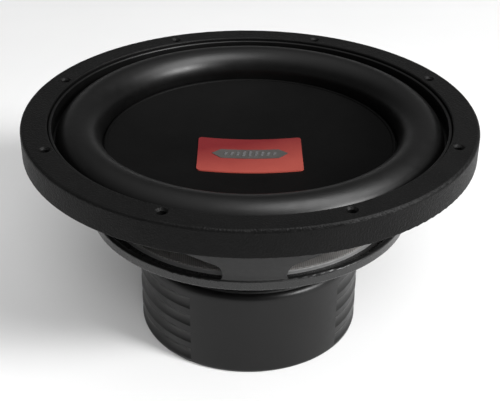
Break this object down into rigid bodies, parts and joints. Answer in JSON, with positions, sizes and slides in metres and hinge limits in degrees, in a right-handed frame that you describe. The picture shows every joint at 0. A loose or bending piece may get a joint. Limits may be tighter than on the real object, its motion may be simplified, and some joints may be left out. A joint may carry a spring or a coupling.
{
  "type": "car subwoofer speaker",
  "caption": "Round low-frequency loudspeaker driver: ring flange with screw holes, rolled rubber surround, shallow dish, open basket and booted magnet with push terminals.",
  "frame": {"origin": "centre of the magnet boot's flat base, on the surface it stands on", "axes": "+Z along the cone's axis, from the magnet to the dish; -Y is the front spoke, +Y the side with the terminals"},
  "size_m": [0.32, 0.32, 0.1685],
  "materials": {
    "painted_steel": "stamped steel, satin black paint",
    "trim_rubber": "moulded rubber, pebbled",
    "foam_gasket": "closed-cell foam strip",
    "surround_rubber": "smooth moulded rubber",
    "landing_ring": "moulded landing ring",
    "spider_cloth": "resin-dipped woven cloth",
    "plate_paint": "steel plate, gloss black paint",
    "ferrite": "ground ferrite",
    "yoke_steel": "turned steel, zinc plated",
    "sleeve_metal": "drawn sleeve",
    "vent_steel": "perforated steel",
    "boot_rubber": "smooth moulded rubber",
    "screw_steel": "black zinc",
    "terminal_black": "moulded plastic",
    "rivet_metal": "blind rivets",
    "tag_brass": "stamped brass",
    "spring_steel": "spring wire",
    "dish_matte": "fine-grained matte black skin",
    "cone_paper": "pressed paper pulp, black",
    "collar_resin": "glued paper collar",
    "former_foil": "thin foil tube",
    "coil_wire": "enamelled copper wire",
    "badge_red": "printed red film",
    "badge_grey": "printed dark grey",
    "badge_silver": "hot-stamped silver",
    "button_red": "moulded plastic",
    "button_black": "moulded plastic"
  },
  "bodies": {
    "frame": {"basket": "painted_steel", "trim_ring": "trim_rubber", "flange_gasket": "foam_gasket", "surround": "surround_rubber", "spider_ring": "landing_ring", "spider": "spider_cloth", "top_plate": "plate_paint", "upper_magnet": "ferrite", "lower_magnet": "ferrite", "yoke": "yoke_steel", "shorting_sleeve": "sleeve_metal", "vent_mesh": "vent_steel", "magnet_boot": "boot_rubber", "plate_screws": "screw_steel", "terminal_base": "terminal_black", "terminal_rivets": "rivet_metal", "terminal_tags": "tag_brass", "spring_positive": "spring_steel", "spring_negative": "spring_steel"},
    "diaphragm": {"dish": "dish_matte", "cone": "cone_paper", "neck_collar": "collar_resin", "former": "former_foil", "voice_coil": "coil_wire", "badge": "badge_red", "badge_plate": "badge_grey", "badge_bars": "badge_silver", "lead_eyelets": "tag_brass"},
    "button_positive": {"button_positive": "button_red"},
    "button_negative": {"button_negative": "button_black"}
  },
  "joints": [
    {"name": "cone_travel", "type": "slide", "parent": "frame", "child": "diaphragm", "axis": [0, 0, 1], "range_m": [-0.012, 0.012], "stiffness_N_per_m": 4600, "deforming": ["surround", "spider"]},
    {"name": "press_positive", "type": "slide", "parent": "frame", "child": "button_positive", "axis": [0, 0, -1], "range_m": [0, 0.0035], "stiffness_N_per_m": 500, "springref_m": -0.003, "deforming": ["spring_positive"]},
    {"name": "press_negative", "type": "slide", "parent": "frame", "child": "button_negative", "axis": [0, 0, -1], "range_m": [0, 0.0035], "stiffness_N_per_m": 500, "springref_m": -0.003, "deforming": ["spring_negative"]}
  ]
}
